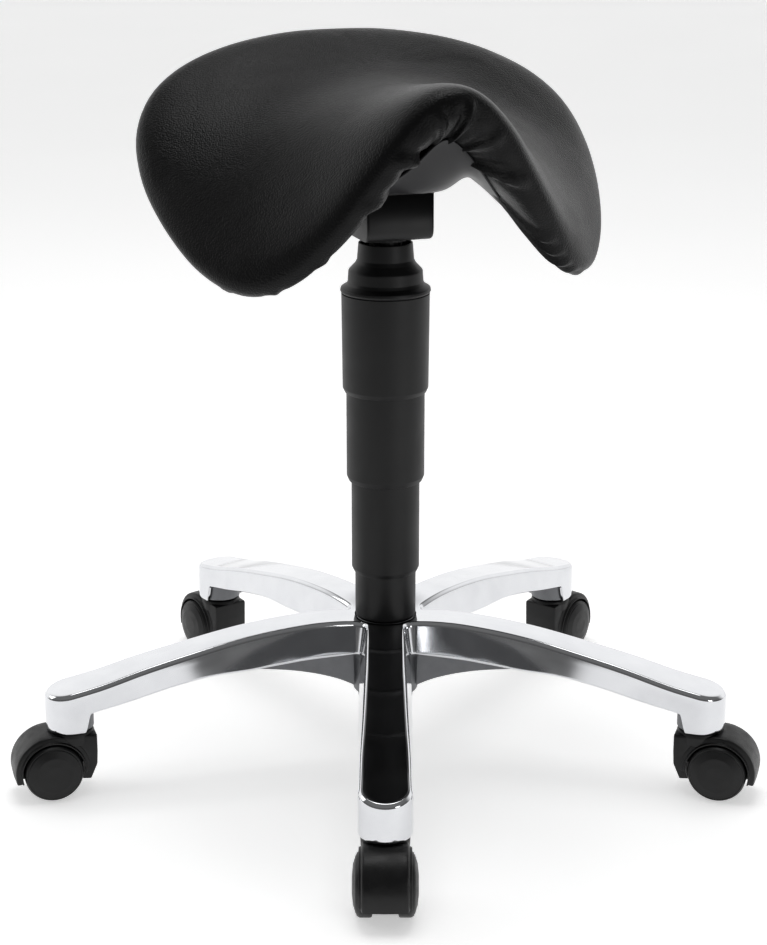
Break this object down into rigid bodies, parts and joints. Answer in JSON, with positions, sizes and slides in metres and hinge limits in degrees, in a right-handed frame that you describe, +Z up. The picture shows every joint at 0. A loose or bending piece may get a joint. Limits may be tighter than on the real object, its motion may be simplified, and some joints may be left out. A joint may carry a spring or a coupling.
{
  "type": "dentist saddle stool",
  "caption": "Dentist's saddle stool: black leather saddle, telescopic black column covers, polished aluminium star base, hooded twin-wheel casters.",
  "frame": {"origin": "on the floor under the middle of the stool's footprint; the column axis stands 26.6 mm behind it in Y", "axes": "+Z up; -Y along the arm nearest the viewer; +X to the viewer's right; the seat faces 19.5 degrees from -Y towards +X"},
  "size_m": [0.6474, 0.6156, 0.6275],
  "materials": {
    "polished_cast": "polished",
    "zinc_steel": "satin zinc plating",
    "black_steel": "powder coated, satin",
    "black_nylon": "fine spark-eroded texture",
    "tread": "fine texture, smooth tread",
    "cover_plastic": "satin",
    "white_plastic": "as moulded",
    "rubber": "matte",
    "shell_plastic": "satin",
    "foam": "open cell foam",
    "leather": "black, fine grain, satin"
  },
  "bodies": {
    "base": {"star_base": "polished_cast", "gas_outer_tube": "black_steel", "gas_guide_bush": "white_plastic", "thrust_bearing": "zinc_steel", "bearing_washer": "zinc_steel", "rubber_bumper": "rubber", "cover_sleeve_4": "cover_plastic", "caster_stem_1": "zinc_steel", "caster_stem_2": "zinc_steel", "caster_stem_3": "zinc_steel", "caster_stem_4": "zinc_steel", "caster_stem_5": "zinc_steel"},
    "rod": {"gas_piston_rod": "zinc_steel", "gas_piston": "rubber", "retaining_clip": "zinc_steel"},
    "seat": {"gas_cylinder": "black_steel", "cover_boot": "cover_plastic", "cover_sleeve_1": "cover_plastic", "mechanism_housing": "black_steel", "mechanism_plate": "black_steel", "taper_socket": "zinc_steel", "lever_bracket": "zinc_steel", "lever_pin": "zinc_steel", "seat_spacer_front": "black_steel", "seat_spacer_rear": "black_steel", "seat_bolt_1": "zinc_steel", "seat_bolt_2": "zinc_steel", "seat_bolt_3": "zinc_steel", "seat_bolt_4": "zinc_steel", "seat_shell": "shell_plastic", "seat_foam": "foam", "seat_cover": "leather"},
    "sleeve_2": {"cover_sleeve_2": "cover_plastic"},
    "sleeve_3": {"cover_sleeve_3": "cover_plastic"},
    "lever": {"height_lever": "zinc_steel", "lever_grip": "black_nylon"},
    "valve": {"valve_button": "zinc_steel"},
    "caster_1": {"caster_hood_1": "black_nylon", "caster_axle_1": "zinc_steel"},
    "wheel_left_1": {"caster_wheel_left_1": "tread"},
    "wheel_right_1": {"caster_wheel_right_1": "tread"},
    "caster_2": {"caster_hood_2": "black_nylon", "caster_axle_2": "zinc_steel"},
    "wheel_left_2": {"caster_wheel_left_2": "tread"},
    "wheel_right_2": {"caster_wheel_right_2": "tread"},
    "caster_3": {"caster_hood_3": "black_nylon", "caster_axle_3": "zinc_steel"},
    "wheel_left_3": {"caster_wheel_left_3": "tread"},
    "wheel_right_3": {"caster_wheel_right_3": "tread"},
    "caster_4": {"caster_hood_4": "black_nylon", "caster_axle_4": "zinc_steel"},
    "wheel_left_4": {"caster_wheel_left_4": "tread"},
    "wheel_right_4": {"caster_wheel_right_4": "tread"},
    "caster_5": {"caster_hood_5": "black_nylon", "caster_axle_5": "zinc_steel"},
    "wheel_left_5": {"caster_wheel_left_5": "tread"},
    "wheel_right_5": {"caster_wheel_right_5": "tread"}
  },
  "joints": [
    {"name": "seat_swivel", "type": "hinge", "parent": "base", "child": "rod", "pos_m": [0, 0.02665, 0.2], "axis": [0, 0, 1], "continuous": true},
    {"name": "seat_lift", "type": "slide", "parent": "rod", "child": "seat", "axis": [0, 0, 1], "range_m": [-0.148, 0]},
    {"name": "sleeve_2_slide", "type": "slide", "parent": "base", "child": "sleeve_2", "axis": [0, 0, 1], "range_m": [-0.0934, 0]},
    {"name": "sleeve_3_slide", "type": "slide", "parent": "base", "child": "sleeve_3", "axis": [0, 0, 1], "range_m": [-0.0386, 0]},
    {"name": "lever_tilt", "type": "hinge", "parent": "seat", "child": "lever", "pos_m": [-0.0198, 0.01964, 0.496], "axis": [-0.3338, 0.9426, 0], "range_deg": [0, 6.5], "stiffness_Nm_per_rad": 1.2},
    {"name": "valve_press", "type": "slide", "parent": "seat", "child": "valve", "axis": [0, 0, -1], "range_m": [0, 0.0026]},
    {"name": "caster_swivel_1", "type": "hinge", "parent": "base", "child": "caster_1", "pos_m": [0, -0.25635, 0.05], "axis": [0, 0, 1], "continuous": true},
    {"name": "wheel_spin_left_1", "type": "hinge", "parent": "caster_1", "child": "wheel_left_1", "pos_m": [0, -0.27535, 0.025], "axis": [1, 0, 0], "continuous": true},
    {"name": "wheel_spin_right_1", "type": "hinge", "parent": "caster_1", "child": "wheel_right_1", "pos_m": [0, -0.27535, 0.025], "axis": [1, 0, 0], "continuous": true},
    {"name": "caster_swivel_2", "type": "hinge", "parent": "base", "child": "caster_2", "pos_m": [0.26915, -0.0608, 0.05], "axis": [0, 0, 1], "continuous": true},
    {"name": "wheel_spin_left_2", "type": "hinge", "parent": "caster_2", "child": "wheel_left_2", "pos_m": [0.28722, -0.06667, 0.025], "axis": [0.309, 0.9511, 0], "continuous": true},
    {"name": "wheel_spin_right_2", "type": "hinge", "parent": "caster_2", "child": "wheel_right_2", "pos_m": [0.28722, -0.06667, 0.025], "axis": [0.309, 0.9511, 0], "continuous": true},
    {"name": "caster_swivel_3", "type": "hinge", "parent": "base", "child": "caster_3", "pos_m": [0.16634, 0.2556, 0.05], "axis": [0, 0, 1], "continuous": true},
    {"name": "wheel_spin_left_3", "type": "hinge", "parent": "caster_3", "child": "wheel_left_3", "pos_m": [0.17751, 0.27097, 0.025], "axis": [-0.809, 0.5878, 0], "continuous": true},
    {"name": "wheel_spin_right_3", "type": "hinge", "parent": "caster_3", "child": "wheel_right_3", "pos_m": [0.17751, 0.27097, 0.025], "axis": [-0.809, 0.5878, 0], "continuous": true},
    {"name": "caster_swivel_4", "type": "hinge", "parent": "base", "child": "caster_4", "pos_m": [-0.16634, 0.2556, 0.05], "axis": [0, 0, 1], "continuous": true},
    {"name": "wheel_spin_left_4", "type": "hinge", "parent": "caster_4", "child": "wheel_left_4", "pos_m": [-0.17751, 0.27097, 0.025], "axis": [-0.809, -0.5878, 0], "continuous": true},
    {"name": "wheel_spin_right_4", "type": "hinge", "parent": "caster_4", "child": "wheel_right_4", "pos_m": [-0.17751, 0.27097, 0.025], "axis": [-0.809, -0.5878, 0], "continuous": true},
    {"name": "caster_swivel_5", "type": "hinge", "parent": "base", "child": "caster_5", "pos_m": [-0.26915, -0.0608, 0.05], "axis": [0, 0, 1], "continuous": true},
    {"name": "wheel_spin_left_5", "type": "hinge", "parent": "caster_5", "child": "wheel_left_5", "pos_m": [-0.28722, -0.06667, 0.025], "axis": [0.309, -0.9511, 0], "continuous": true},
    {"name": "wheel_spin_right_5", "type": "hinge", "parent": "caster_5", "child": "wheel_right_5", "pos_m": [-0.28722, -0.06667, 0.025], "axis": [0.309, -0.9511, 0], "continuous": true}
  ],
  "couplings": [
    {"joint": "sleeve_2_slide", "follows": "seat_lift", "ratio": 0.63},
    {"joint": "sleeve_3_slide", "follows": "seat_lift", "ratio": 0.26},
    {"joint": "valve_press", "follows": "lever_tilt", "m_per_rad": 0.0222}
  ]
}
